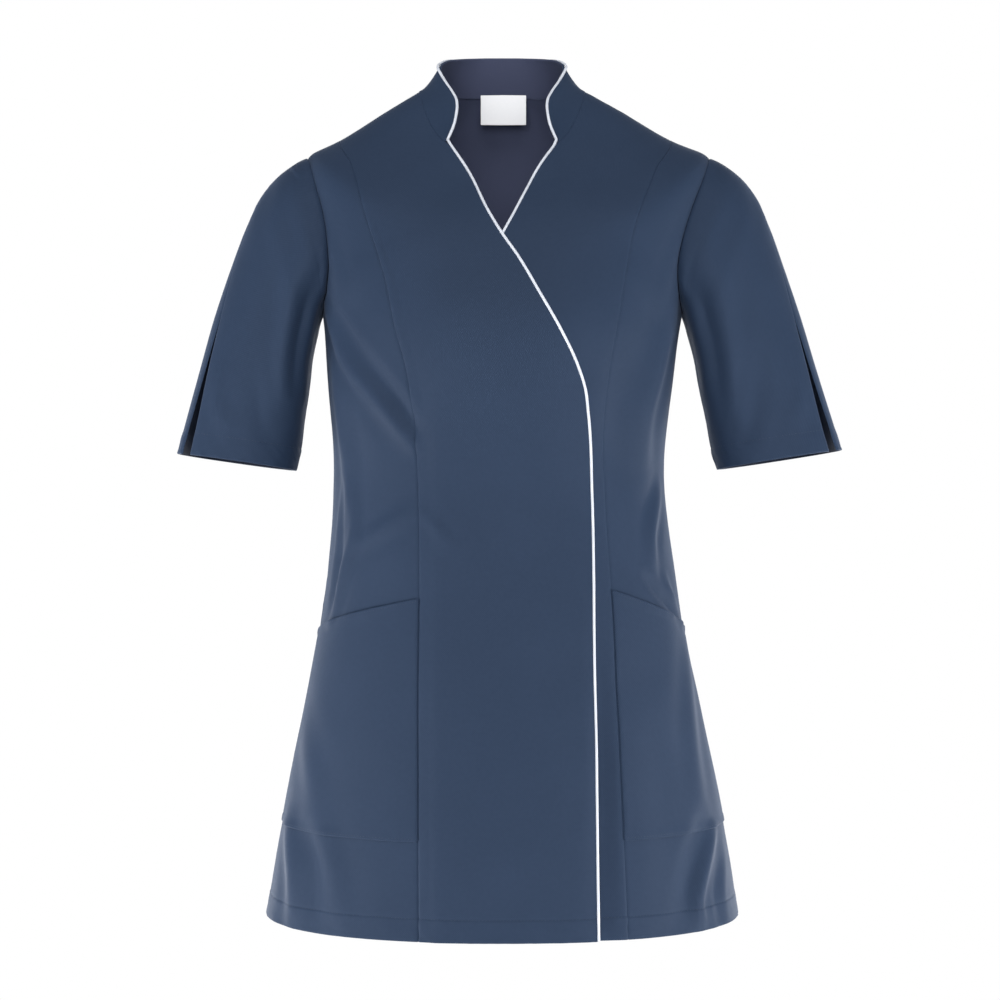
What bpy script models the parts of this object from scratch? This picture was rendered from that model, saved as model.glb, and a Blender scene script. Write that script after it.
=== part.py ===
"""Short-sleeved wrap-front medical tunic, standing open as if worn.

Each cut piece of cloth is its own object. A piece is a grid of points on one of two forms, the torso or a
sleeve, and a second grid one thickness further in. Pieces meet edge to edge with a narrow gap at each seam.

Sizes are in millimetres and are turned to metres when a mesh is made. The origin is on the shoulder line at the
neck. X runs to the wearer's left, Y to the back and Z up. On the torso an angle of 0 is the centre front, +90 the
left side seam and 180 the centre back. A level counts the rings of the table below, from the hem up to the neck.
"""

from collections import namedtuple

import bmesh
import bpy
import numpy as np

MM = 0.001

# Cloth and making-up
CLOTH = 1.2  # thickness of one layer
COLLAR_CLOTH = 1.8  # the collar holds an interlining
LABEL_CLOTH = 1.0
SEAM_GAP = 0.3
LAP_GAP = 1.0  # between the two fronts where they cross
POCKET_GAP = 0.45
PIPING_DIAMETER = 2.6
OVER_PIPING_SINK = 0.25  # depth of a piping's centre below its front's outer face
UNDER_PIPING_SINK = 0.9
COLLAR_PIPING_DROP = 1.6  # of its centre below the collar's edge
PIPING_HEAD = 11.88  # level at which the fronts' pipings end, just under the collar
UNDER_PIPING_FOOT = 7.5  # and where the left one starts, just below the place where the fronts cross

# Torso: one row for each ring round the body. The lean moves a ring to the wearer's left, and the rise says how
# late the ring climbs from the centre front to the side.
Ring = namedtuple("Ring", "name level half_width lean side_y side_z front_y front_z back_y back_z rise")
RINGS = [
    Ring("hem", 0, 203, 0.5, 0, -701, -138, -701, 128, -701, 2),
    Ring("pocket foot", 1, 190, 0.5, 0, -625, -134, -625, 124, -625, 2),
    Ring("hip", 2, 172.5, 0, 0, -540, -128, -540, 118, -540, 2),
    Ring("pocket mouth", 3, 157, -0.5, 0, -465, -121, -465, 108, -465, 2),
    Ring("high hip", 4, 147, -1, 0, -395, -114, -395, 96, -395, 2),
    Ring("waist", 5, 141, -3, 0, -320, -110, -320, 88, -320, 2),
    Ring("ribs", 6, 147.5, -1, 1, -250, -121, -250, 91, -250, 2),
    Ring("underarm", 7, 154, 0, 2, -190, -124, -197, 97, -185, 2),
    Ring("chest", 8, 165, 2, 5, -120, -112, -155, 101, -128, 2),
    Ring("shoulder point", 9, 173, 6, 8, -53.5, -98, -122, 92, -76, 2),
    Ring("shoulder end", 9.12, 169, 5.6, 8, -51.8, -96.3, -118.7, 90.7, -70.8, 2),
    Ring("outer shoulder", 10, 140, 3, 8, -39.5, -82, -98, 80, -38, 2.1),
    Ring("inner shoulder", 11, 103, 1.5, 7, -16.5, -69, -80, 69, -13, 2.8),
    Ring("neck", 12, 71, 0, 5, 2, -60, -54, 58, 4, 4.5),
]
UNDERARM_LEVEL = 7.0
SHOULDER_POINT_LEVEL = 9.0
NECK_LEVEL = 12.0
ROUNDNESS = 2.3  # superellipse exponent of every ring
BACK_RISE = 2.0  # as the rings' rise, for their back halves

# Rows of points, shared by all that meets along a seam
BODY_ROWS = 21
ARMHOLE_STEPS = 10  # also the columns of half a sleeve
SHOULDER_STEPS = 5  # from the shoulder point to the princess seam
NECK_STEPS = 6  # from there to the neck
SIDE_COLUMNS = 8  # of a side front and the pocket on it
OVER_COLUMNS = 14
UNDER_COLUMNS = 12
BACK_COLUMNS = 25
POCKET_ROWS = 9
COLLAR_ROWS = 6
SIDE_FRONT_TIP = 0.6  # how far its last row goes towards the point where its two seams meet
LAP_LEVEL = 3.0  # the right front's lift off the form is set out at this level
LAP_MARGIN = 3.0  # degrees by which it is clear before the left front starts

# Armhole: how far its front and back edges cut in from the side, in degrees round the body
ARMHOLE_FRONT = 28.0
ARMHOLE_BACK = 25.0
ARMHOLE_SQUARENESS = 0.85  # 1 gives an oval armhole, less a squarer one
BACK_CUT_FADE = 2.2  # the higher, the sooner the armhole's curve dies out towards the centre back

# Seams and edges as seen from the front: height, then distance from the centre
Mark = namedtuple("Mark", "z x")
WRAP_EDGE = [  # the right front laps over the left one, from the collar notch down to the hem
    Mark(-46, -47), Mark(-76, -28), Mark(-111, -12), Mark(-129, -1.5), Mark(-148, 11.5), Mark(-180, 30),
    Mark(-209, 46.5), Mark(-236, 59.5), Mark(-254, 65.5), Mark(-275, 68), Mark(-340, 71.5), Mark(-455, 73),
    Mark(-560, 75), Mark(-701, 76.5),
]
UNDERLAP_EDGE = [  # the left front's own edge, hidden below the crossing
    Mark(-46, 48), Mark(-72, 30.5), Mark(-92, 20), Mark(-111, 10.5), Mark(-129, 1), Mark(-165, -18),
    Mark(-203, -33), Mark(-260, -45), Mark(-347, -48), Mark(-701, -48),
]
PRINCESS_RIGHT = [
    Mark(-46, -133.5), Mark(-79, -122), Mark(-114, -112), Mark(-159, -97), Mark(-208, -86.5), Mark(-241, -78),
    Mark(-282, -72), Mark(-347, -68.5), Mark(-510, -68.5), Mark(-701, -67.5),
]
PRINCESS_LEFT = [
    Mark(-42, 141), Mark(-79, 125), Mark(-114, 111), Mark(-150, 102.5), Mark(-189, 96), Mark(-251, 87),
    Mark(-300, 83.5), Mark(-350, 85), Mark(-419, 89.5), Mark(-553, 96), Mark(-701, 102.5),
]
PRINCESS_TOP = 10.04  # level where the seams run out into the shoulder seam

# Pockets, set on the side fronts between the princess seam and the side seam
POCKET_TOP_RIGHT = -426  # height of the slanting mouth at the princess seam
POCKET_TOP_LEFT = -419.5
POCKET_TOP_OUTER = -461  # and at the side seam
POCKET_FOOT = -621
POCKET_EASE = 1.6  # how far the mouth stands off at its middle
POCKET_INSETS = (0.025, 0.015)  # from the princess seam and the side seam, as a share of the side front's width

# Collar: its top edge, above the seam point at each angle round the neck
Stand = namedtuple("Stand", "angle x y z")
COLLAR_EDGE = [
    Stand(39.5, 46.5, -49, -45.5), Stand(46, 41.5, -48, -34), Stand(53, 39, -43, -22), Stand(62, 39, -36, -11),
    Stand(72, 43, -25, -1.5), Stand(83, 49.5, -12, 9.5), Stand(96, 53.5, 1, 22.5), Stand(108, 49.5, 12, 28.5),
    Stand(130, 38, 31, 33.5), Stand(155, 20, 43, 36), Stand(180, 0, 46, 36.5),
]
COLLAR_HOLLOW = 1.0  # the stand curves in between its seam and its edge
COLLAR_STEPS = 17  # from one front end to the centre back
COLLAR_CROWDING = 1.15  # above 1, the steps crowd at the front ends

# Sleeves: one row for each arm, right first. The cuff is an oval across the arm, and the cap reach is how far the
# sleeve head keeps the shoulder's slope.
Arm = namedtuple("Arm", "side cuff_x cuff_y cuff_z half_width half_depth cuff_tilt arm_angle cap_reach")
ARMS = [
    Arm(-1, 226.5, -12, -315, 51.0, 47.0, 8.0, 14.5, 55.0),
    Arm(+1, 237.0, -12, -313, 53.5, 47.0, 8.8, 17.5, 62.0),
]
ARM_TWIST = 38.0  # degrees by which the outer seam turns to the front on its way to the cuff
ARM_FORWARD = 3.0  # degrees
CAP_SLOPE = 21.0  # degrees below level at which the sleeve leaves the shoulder point
UNDERARM_REACH = 16.0
UNDERARM_FLARE = 0.75  # how far the underarm leaves the armhole spread out, not straight
CUFF_REACH_OUTER = 0.74  # how far up the sleeve it keeps the cuff's direction, as a share of its length
CUFF_REACH_INNER = 0.36
VENT_FROM = 0.75  # the slit at the foot of the outer seam starts this far down the sleeve
VENT_OPENING = 13.0

# Label at the back neck
LABEL_WIDTH = 40.0
LABEL_HEIGHT = 27.0
LABEL_CENTRE_X = 1.5
LABEL_GAP = 0.5
LABEL_HEAD = 11.98  # level of its top edge
LABEL_DROP_OF_LEVEL = 20.5  # length of the back between the two uppermost rings

# Main folds of the torso: a soft ridge (or trough, where height is negative) from one place to another
GIRTH_OF_DEGREE = 2.45
FOLD_END = 0.35  # height of a fold's ends, as a share of its middle's
FOLD_FULLNESS = 0.7  # below 1, a fold keeps its height longer towards its ends
Fold = namedtuple("Fold", "name angle_a z_a angle_b z_b half_width height")
FOLDS = [
    Fold("right underarm drag", -76, -228, -47, -306, 11, 3.2),
    Fold("right underarm hollow", -62, -226, -45, -300, 9, -2.4),
    Fold("right waist tuck", -68, -372, -86, -452, 8, 3.0),
    Fold("right hip hollow", -74, -400, -82, -452, 8, -2.2),
    Fold("right princess fan", -50, -362, -64, -392, 9, 2.0),
    Fold("left waist roll", 68, -236, 76, -335, 16, 3.4),
    Fold("left hip crease", 72, -400, 84, -448, 9, 3.0),
    Fold("right skirt flute", -78, -520, -70, -640, 15, 3.2),
    Fold("right hem flute", -76, -640, -66, -701, 13, 3.6),
    Fold("right hem hollow", -62, -610, -54, -701, 13, -2.6),
    Fold("left skirt flute", 79, -500, 70, -640, 15, 3.0),
    Fold("left hem flute", 69, -630, 73, -701, 10, 3.8),
    Fold("left hem hollow", 60, -640, 60, -701, 12, -2.8),
    Fold("back left waist drag", 112, -250, 138, -322, 13, 3.0),
    Fold("back right waist drag", -114, -262, -140, -330, 13, 2.8),
    Fold("back waist break", 165, -338, -168, -330, 12, -2.6),
    Fold("back left flute", 128, -470, 133, -701, 18, 4.6),
    Fold("back right flute", -131, -480, -127, -701, 18, 4.4),
    Fold("back centre flute", 174, -520, 178, -701, 22, 3.8),
    Fold("back left hollow", 152, -500, 155, -701, 16, -3.4),
    Fold("back right hollow", -153, -500, -150, -701, 16, -3.2),
]

SHARP = np.radians(50)  # edges sharper than this stay crisp
NAVY = (0.034, 0.056, 0.106)
WHITE = (0.86, 0.87, 0.90)


def through(knots, values, at):
    """A smooth curve through the knots, read at the places given. It keeps its end slope past the ends."""
    knots, values, at = (np.asarray(a, float) for a in (knots, values, at))
    if knots[0] > knots[-1]:
        knots, values = knots[::-1], values[::-1]
    step = np.diff(knots)
    rise = np.diff(values) / step
    slope = np.empty(len(knots))
    slope[1:-1] = (rise[:-1] * step[1:] + rise[1:] * step[:-1]) / (step[:-1] + step[1:])
    slope[0], slope[-1] = rise[0], rise[-1]
    inside = np.clip(at, knots[0], knots[-1])
    i = np.clip(np.searchsorted(knots, inside) - 1, 0, len(step) - 1)
    t = (inside - knots[i]) / step[i]
    curve = (
        values[i] * (1 + 2 * t) * (1 - t) ** 2
        + values[i + 1] * t * t * (3 - 2 * t)
        + step[i] * t * (1 - t) * (slope[i] * (1 - t) - slope[i + 1] * t)
    )
    return curve + np.where(at < knots[0], slope[0], slope[-1]) * (at - inside)


def smoothstep(t):
    t = np.clip(t, 0, 1)
    return t * t * (3 - 2 * t)


def unit(v):
    return v / np.maximum(np.linalg.norm(v, axis=-1, keepdims=True), 1e-12)


# ---- Torso form ----


def ring_value(column, level):
    return through([ring.level for ring in RINGS], [getattr(ring, column) for ring in RINGS], level)


def bare_torso(angle, level):
    """Points of the smooth torso, with no folds."""
    turn = np.radians(np.asarray(angle, float))
    level = np.broadcast_to(np.asarray(level, float), turn.shape)
    across, along = np.sin(turn), np.cos(turn)
    front = along > 0
    side_y, side_z = ring_value("side_y", level), ring_value("side_z", level)
    middle_y = np.where(front, ring_value("front_y", level), ring_value("back_y", level))
    middle_z = np.where(front, ring_value("front_z", level), ring_value("back_z", level))
    rise = np.where(front, ring_value("rise", level), BACK_RISE)
    power = 2 / ROUNDNESS
    wide = np.abs(across) ** power
    x = np.sign(across) * ring_value("half_width", level) * wide + ring_value("lean", level)
    y = side_y + (middle_y - side_y) * np.abs(along) ** power
    z = middle_z + (side_z - middle_z) * np.abs(across) ** rise
    return np.stack([x, y, z], axis=-1)


def torso_normal(angle, level):
    """The outward direction at each point of the torso."""
    d_angle, d_level = 0.4, 0.01
    round_it = bare_torso(angle + d_angle, level) - bare_torso(angle - d_angle, level)
    up_it = bare_torso(angle, level + d_level) - bare_torso(angle, level - d_level)
    return unit(np.cross(round_it, up_it))


def fold_height(angle, z):
    """How far the folds push the torso's cloth out at each place."""
    height = np.zeros(np.shape(angle))
    for fold in FOLDS:
        bend = (fold.angle_b - fold.angle_a + 180) % 360 - 180
        run = np.array([bend * GIRTH_OF_DEGREE, fold.z_b - fold.z_a])
        round_it = ((angle - fold.angle_a + 180) % 360 - 180) * GIRTH_OF_DEGREE
        off = np.stack([round_it, z - fold.z_a], axis=-1)
        share = np.clip(off @ run / (run @ run), 0, 1)
        away = np.linalg.norm(off - share[..., None] * run, axis=-1)
        swell = FOLD_END + (1 - FOLD_END) * np.sin(np.pi * share) ** FOLD_FULLNESS
        height = height + fold.height * swell * np.exp(-((away / fold.half_width) ** 2))
    return height


def torso(angle, level, out=0.0):
    """Points of the torso's cloth, moved out along its normal."""
    angle, level = np.broadcast_arrays(np.asarray(angle, float), np.asarray(level, float))
    bare = bare_torso(angle, level)
    push = fold_height(angle, bare[..., 2]) + out
    return bare + torso_normal(angle, level) * np.asarray(push)[..., None]


def angle_of(marks, level):
    """The angle at which each level meets a line that is given as it looks from the front."""
    marks_z, marks_x = [m.z for m in marks], [m.x for m in marks]
    low, high = np.full(np.shape(level), -90.0), np.full(np.shape(level), 90.0)
    for _ in range(40):
        middle = (low + high) / 2
        point = bare_torso(middle, level)
        short = point[..., 0] < through(marks_z, marks_x, point[..., 2])
        low, high = np.where(short, middle, low), np.where(short, high, middle)
    return (low + high) / 2


def level_of(z, angle):
    """The level at which the torso has a height, at one angle."""
    low, high = np.zeros(np.shape(z)), np.full(np.shape(z), UNDERARM_LEVEL)
    for _ in range(30):
        middle = (low + high) / 2
        short = bare_torso(angle, middle)[..., 2] < z
        low, high = np.where(short, middle, low), np.where(short, high, middle)
    return (low + high) / 2


def armhole_share(level):
    """0 at the underarm and the shoulder point, 1 halfway up the armhole."""
    rise = np.clip((level - UNDERARM_LEVEL) / (SHOULDER_POINT_LEVEL - UNDERARM_LEVEL), 0, 1)
    return (2 * np.sqrt(rise * (1 - rise))) ** ARMHOLE_SQUARENESS


def body_levels():
    """The rows of every panel, from the hem to the neck. They crowd together where the armhole turns in."""
    body = np.linspace(0, UNDERARM_LEVEL, BODY_ROWS, endpoint=False)
    turn = np.linspace(0, np.pi, ARMHOLE_STEPS, endpoint=False)
    armhole = UNDERARM_LEVEL + (SHOULDER_POINT_LEVEL - UNDERARM_LEVEL) * (1 - np.cos(turn)) / 2
    closing = np.linspace(1, 0, SHOULDER_STEPS, endpoint=False) ** 1.5
    outer_shoulder = PRINCESS_TOP - (PRINCESS_TOP - SHOULDER_POINT_LEVEL) * closing
    return np.concatenate([body, armhole, outer_shoulder, np.linspace(PRINCESS_TOP, NECK_LEVEL, NECK_STEPS)])


# ---- Sleeve form ----


def armhole_point(turn, side, out=0.0):
    """The armhole at a turn round the arm: 0 the shoulder point, 90 the front, 180 the underarm, 270 the back."""
    turn = np.radians(turn)
    level = UNDERARM_LEVEL + (SHOULDER_POINT_LEVEL - UNDERARM_LEVEL) * (1 + np.cos(turn)) / 2
    cut = np.where(np.sin(turn) > 0, ARMHOLE_FRONT, -ARMHOLE_BACK)
    return torso(side * (90 - cut * np.abs(np.sin(turn)) ** ARMHOLE_SQUARENESS), level, out)


def cuff_point(turn, arm):
    """The cuff at a turn round the arm, after the twist."""
    turn = np.radians(turn)
    tilt, forward = np.radians(arm.cuff_tilt), np.radians(ARM_FORWARD)
    outward = np.array([arm.side * np.cos(tilt), 0, np.sin(tilt)])
    ahead = np.array([0, -np.cos(forward), np.sin(forward)])
    power = 2 / ROUNDNESS
    wide = np.sign(np.cos(turn)) * np.abs(np.cos(turn)) ** power * arm.half_width
    deep = np.sign(np.sin(turn)) * np.abs(np.sin(turn)) ** power * arm.half_depth
    centre = np.array([arm.side * arm.cuff_x, arm.cuff_y, arm.cuff_z])
    return centre + wide[..., None] * outward + deep[..., None] * ahead


def sleeve(turn, share, arm):
    """Points of a sleeve from the armhole (share 0) to the cuff (share 1), each line a curve with four handles."""
    turn, share = np.broadcast_arrays(np.asarray(turn, float), np.asarray(share, float))
    twisted = turn + ARM_TWIST * np.sin(np.radians(turn / 2 + 90)) ** 2
    low = (1 - np.cos(np.radians(turn)))[..., None] / 2
    start, end = armhole_point(turn, arm.side, SEAM_GAP * low[..., 0]), cuff_point(twisted, arm)
    centre = (armhole_point(np.array(90.0), arm.side) + armhole_point(np.array(270.0), arm.side)) / 2
    slope = np.radians(CAP_SLOPE)
    out_of_armhole = np.array([arm.side * np.cos(slope), 0, -np.sin(slope)])
    leave = unit(out_of_armhole + UNDERARM_FLARE * low * unit(start - centre))
    angle = np.radians(arm.arm_angle)
    down = unit(np.array([arm.side * np.sin(angle), -np.sin(np.radians(ARM_FORWARD)), -np.cos(angle)]))
    reach = UNDERARM_REACH + (arm.cap_reach - UNDERARM_REACH) * (1 - low)
    length = np.linalg.norm(end - start, axis=-1, keepdims=True)
    cuff_reach = CUFF_REACH_INNER + (CUFF_REACH_OUTER - CUFF_REACH_INNER) * (1 - low)
    handle_a, handle_b = start + reach * leave, end - cuff_reach * length * down
    t = share[..., None]
    return start * (1 - t) ** 3 + 3 * handle_a * t * (1 - t) ** 2 + 3 * handle_b * t * t * (1 - t) + end * t**3


def sleeve_normal(turn, share, arm):
    """The outward direction at each point of a sleeve."""
    round_it = sleeve(turn + 1.0, share, arm) - sleeve(turn - 1.0, share, arm)
    down_it = sleeve(turn, share + 0.01, arm) - sleeve(turn, share - 0.01, arm)
    return unit(np.cross(round_it, down_it)) * arm.side


# ---- Walls and cords ----


def drawn_in(grid):
    """How far each border point of a grid moves, square to the border, to end half a seam gap inside it."""
    move = np.zeros_like(grid)
    for axis in (0, 1):
        line, shift = np.moveaxis(grid, axis, 0), np.moveaxis(move, axis, 0)
        for edge, inner in ((0, 1), (-1, -2)):
            along = unit(np.gradient(line[edge], axis=0))
            across = line[inner] - line[edge]
            across = across - np.sum(across * along, axis=-1, keepdims=True) * along
            shift[edge] += SEAM_GAP / 2 * unit(across)
    return move


def finish_material(name, colour, roughness):
    material = bpy.data.materials.get(name) or bpy.data.materials.new(name)
    material.use_nodes = True
    shader = material.node_tree.nodes["Principled BSDF"]
    shader.inputs["Base Color"].default_value = (*colour, 1.0)
    shader.inputs["Roughness"].default_value = roughness
    shader.inputs["Metallic"].default_value = 0.0
    return material


def place(name, data, material):
    obj = bpy.data.objects.new(name, data)
    data.materials.append(material)
    bpy.context.scene.collection.objects.link(obj)
    return obj


def cloth_piece(name, grid, normal, material, thickness=CLOTH):
    """One cut piece: the grid is its outer face, and its inner face lies one thickness behind it."""
    outer = grid + drawn_in(grid)
    rows, columns = grid.shape[:2]
    wall = bmesh.new()
    faces = []
    for layer in (outer, outer - thickness * normal):
        faces.append([[wall.verts.new(point * MM) for point in row] for row in layer])
    front, back = faces
    for r in range(rows - 1):
        for c in range(columns - 1):
            wall.faces.new((front[r][c], front[r][c + 1], front[r + 1][c + 1], front[r + 1][c]))
            wall.faces.new((back[r][c], back[r + 1][c], back[r + 1][c + 1], back[r][c + 1]))
    rim = [(0, c) for c in range(columns)] + [(r, columns - 1) for r in range(1, rows)]
    rim += [(rows - 1, c) for c in range(columns - 2, -1, -1)] + [(r, 0) for r in range(rows - 2, 0, -1)]
    for (r, c), (r_next, c_next) in zip(rim, rim[1:] + rim[:1]):
        wall.faces.new((front[r_next][c_next], front[r][c], back[r][c], back[r_next][c_next]))
    mesh = bpy.data.meshes.new(name)
    wall.to_mesh(mesh)
    wall.free()
    mesh.shade_smooth()
    mesh.set_sharp_from_angle(angle=SHARP)
    return place(name, mesh, material)


def torso_piece(name, angles, rows, material, out=0.0, thickness=CLOTH):
    """A piece that lies on the torso. Its columns run from the wearer's right to the left, seen from outside."""
    angles, rows, out = np.broadcast_arrays(angles, rows, out)
    return cloth_piece(name, torso(angles, rows, out), torso_normal(angles, rows), material, thickness)


def cord(name, line, material, diameter=PIPING_DIAMETER):
    """A round cord along a line of points, with closed ends."""
    data = bpy.data.curves.new(name, "CURVE")
    data.dimensions = "3D"
    data.bevel_depth = diameter / 2 * MM
    data.bevel_resolution = 1
    data.use_fill_caps = True
    spline = data.splines.new("POLY")
    spline.points.add(len(line) - 1)
    for point, place_mm in zip(spline.points, line):
        point.co = (*(place_mm * MM), 1.0)
    return place(name, data, material)


def spaced(line, count):
    """The same line with evenly spaced points."""
    along = np.concatenate([[0], np.cumsum(np.linalg.norm(np.diff(line, axis=0), axis=1))])
    at = np.linspace(0, along[-1], count)
    return np.stack([np.interp(at, along, line[:, k]) for k in range(3)], axis=1)


# ---- Pieces of the body ----


def lap_lift(angle):
    """How far the right front is lifted off the form, so that it clears the left front below it."""
    clear = angle_of(UNDERLAP_EDGE, np.array(LAP_LEVEL)) - LAP_MARGIN
    start = angle_of(PRINCESS_RIGHT, np.array(LAP_LEVEL))
    return (CLOTH + LAP_GAP) * smoothstep((angle - start) / (clear - start))


def over_edge_point(level, beyond=0.0):
    """A point of the right front's wrap edge, or past it by a distance in the cloth's own plane."""
    angle = angle_of(WRAP_EDGE, level)
    edge = torso(angle, level, lap_lift(angle))
    tangent = torso(angle_of(WRAP_EDGE, level + 0.02), level + 0.02) - torso(angle, level)
    across = unit(np.cross(unit(tangent), torso_normal(angle, level)))
    return edge + beyond * across


def under_edge_point(level, beyond=0.0):
    """The same for the left front's edge, whose free side faces the other way."""
    angle = angle_of(UNDERLAP_EDGE, level)
    tangent = torso(angle_of(UNDERLAP_EDGE, level + 0.02), level + 0.02) - torso(angle, level)
    across = unit(np.cross(unit(tangent), torso_normal(angle, level)))
    return torso(angle, level) - beyond * across


def princess_angles(rows, seam, side):
    """The princess seam's angle at each row. From its top on, it is the shoulder seam's."""
    return np.where(rows >= PRINCESS_TOP, side * 90.0, side * np.minimum(side * angle_of(seam, rows), 90.0))


def between(first, last, columns):
    """Rows of angles, each running evenly from the first edge to the last."""
    return first[:, None] + (last - first)[:, None] * np.linspace(0, 1, columns)


def centre_fronts(cloth):
    """The two fronts that cross, from their free edges to the princess seams."""
    rows = body_levels()
    angles = between(princess_angles(rows, PRINCESS_RIGHT, -1), angle_of(WRAP_EDGE, rows), OVER_COLUMNS)
    torso_piece("front_over", angles, rows[:, None], cloth, lap_lift(angles))
    angles = between(angle_of(UNDERLAP_EDGE, rows), princess_angles(rows, PRINCESS_LEFT, +1), UNDER_COLUMNS)
    torso_piece("front_under", angles, rows[:, None], cloth)


def side_front(side, seam, name, cloth):
    """A side front, between the princess seam and the side seam or armhole."""
    rows = body_levels()
    rows = rows[rows <= PRINCESS_TOP]
    outer = side * (90 - ARMHOLE_FRONT * armhole_share(rows))
    angles = between(princess_angles(rows, seam, side), outer, SIDE_COLUMNS)[:, ::side]
    grid, normal = torso(angles, rows[:, None]), torso_normal(angles, rows[:, None])
    grid[-1] = grid[-2] + SIDE_FRONT_TIP * (grid[-1] - grid[-2])
    cloth_piece(name, grid, normal, cloth)


def back_piece(cloth):
    """The back, in one piece from side seam to side seam and up to the shoulder seams and the neck."""
    rows = body_levels()
    share = np.linspace(-1, 1, BACK_COLUMNS)
    edge_cut = ARMHOLE_BACK * armhole_share(rows)[:, None] * np.sign(share) * np.abs(share) ** BACK_CUT_FADE
    torso_piece("back", 180 + 90 * share - edge_cut, rows[:, None], cloth)


def pocket_piece(side, seam, top_inner, name, cloth):
    """A pocket laid on its side front, with a slanting mouth and a straight foot."""
    across = np.linspace(0, 1, SIDE_COLUMNS)
    across[0], across[-1] = POCKET_INSETS[0], 1 - POCKET_INSETS[1]
    up = np.linspace(0, 1, POCKET_ROWS)
    angles, rows = np.zeros((POCKET_ROWS, SIDE_COLUMNS)), np.zeros((POCKET_ROWS, SIDE_COLUMNS))
    for c, share in enumerate(across):
        top = top_inner + (POCKET_TOP_OUTER - top_inner) * share
        heights = POCKET_FOOT + (top - POCKET_FOOT) * up
        inner = angle_of(seam, level_of(heights, np.full(POCKET_ROWS, side * 30.0)))
        angles[:, c] = inner + (side * 90 - inner) * share
        rows[:, c] = level_of(heights, angles[:, c])
    out = CLOTH + POCKET_GAP + POCKET_EASE * up[:, None] ** 3 * np.sin(np.pi * across)
    torso_piece(name, angles[:, ::side], rows[:, ::side], cloth, out[:, ::side])


def sleeve_pieces(cloth):
    """A front and a back half for each sleeve. The outer seam between them stays open at its foot, as a vent."""
    share = np.concatenate([np.linspace(0, 0.7, 9), np.linspace(0.76, 1, 5)])
    for arm, hand in zip(ARMS, ("right", "left")):
        opened = np.clip((share - VENT_FROM) / (1 - VENT_FROM), 0, 1)
        gape = np.degrees(VENT_OPENING / 2 / arm.half_width) * opened
        for half, first, last in (("front", gape, 180 + 0 * gape), ("back", 180 + 0 * gape, 360 - gape)):
            turns = between(first, last, ARMHOLE_STEPS + 1)
            turns, shares = np.broadcast_arrays(turns, share[:, None])
            grid, normal = sleeve(turns, shares, arm), sleeve_normal(turns, shares, arm)
            cloth_piece(f"sleeve_{half}_{hand}", grid[:, :: arm.side], normal[:, :: arm.side], cloth)


def mirrored(line):
    return line * np.array([-1, 1, 1])


def collar_lines():
    """The neck seam and the collar's top edge above it, from the left notch round the back to the right one."""
    first, last = COLLAR_EDGE[0].angle, COLLAR_EDGE[-1].angle
    angle = first + (last - first) * np.linspace(0, 1, COLLAR_STEPS) ** COLLAR_CROWDING
    knots = [s.angle for s in COLLAR_EDGE]
    top = np.stack([through(knots, [getattr(s, c) for s in COLLAR_EDGE], angle) for c in "xyz"], axis=1)
    seam = torso(angle, NECK_LEVEL)
    return tuple(np.concatenate([half, mirrored(half)[-2::-1]]) for half in (seam, top))


def collar_outward(line, rise):
    """The outward direction along a line round the collar, or along each row of a grid."""
    return unit(np.cross(unit(np.gradient(line, axis=-2)), unit(rise)))


def collar_piece(cloth):
    seam, top = collar_lines()
    seam = seam + unit(top - seam) * SEAM_GAP
    share = np.linspace(0, 1, COLLAR_ROWS)[:, None, None]
    grid = seam + (top - seam) * share
    outward = collar_outward(grid, top - seam)
    grid = grid - outward * COLLAR_HOLLOW * np.sin(np.pi * share)
    cloth_piece("collar", grid, outward, cloth, COLLAR_CLOTH)


def pipings(white):
    """Corded piping along the wrap edge, the visible part of the underlap edge, and the collar's top edge."""
    beyond = PIPING_DIAMETER / 2 + SEAM_GAP
    rows = np.linspace(0, PIPING_HEAD, 200)
    angle = angle_of(WRAP_EDGE, rows)
    line = over_edge_point(rows, beyond) - torso_normal(angle, rows) * OVER_PIPING_SINK
    cord("piping_over", spaced(line, 64), white)

    rows = np.linspace(UNDER_PIPING_FOOT, PIPING_HEAD, 80)
    angle = angle_of(UNDERLAP_EDGE, rows)
    line = under_edge_point(rows, beyond) - torso_normal(angle, rows) * UNDER_PIPING_SINK
    cord("piping_under", spaced(line, 22), white)

    seam, top = collar_lines()
    line = top + collar_outward(top, top - seam) * beyond - unit(top - seam) * COLLAR_PIPING_DROP
    cord("piping_collar", line, white)


def label_piece(white):
    """The neck label, hanging inside the back from the collar seam."""
    fall = LABEL_HEIGHT / LABEL_DROP_OF_LEVEL
    rows = np.repeat((LABEL_HEAD - fall * np.linspace(1, 0, 5))[:, None], 7, axis=1)
    x = LABEL_CENTRE_X + LABEL_WIDTH / 2 * np.linspace(1, -1, 7)
    share = np.abs(x) / ring_value("half_width", rows)
    angles = 180 - np.sign(x) * np.degrees(np.arcsin(share ** (ROUNDNESS / 2)))
    torso_piece("label", angles, rows, white, -(CLOTH + LABEL_GAP), LABEL_CLOTH)


def main():
    for old in list(bpy.data.objects):
        bpy.data.objects.remove(old, do_unlink=True)
    cloth = finish_material("navy stretch twill", NAVY, 0.62)
    white = finish_material("white satin piping", WHITE, 0.45)
    label_cloth = finish_material("white label tape", WHITE, 0.5)
    centre_fronts(cloth)
    side_front(-1, PRINCESS_RIGHT, "front_side_right", cloth)
    side_front(+1, PRINCESS_LEFT, "front_side_left", cloth)
    back_piece(cloth)
    pocket_piece(-1, PRINCESS_RIGHT, POCKET_TOP_RIGHT, "pocket_right", cloth)
    pocket_piece(+1, PRINCESS_LEFT, POCKET_TOP_LEFT, "pocket_left", cloth)
    sleeve_pieces(cloth)
    collar_piece(cloth)
    pipings(white)
    label_piece(label_cloth)


main()
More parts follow.
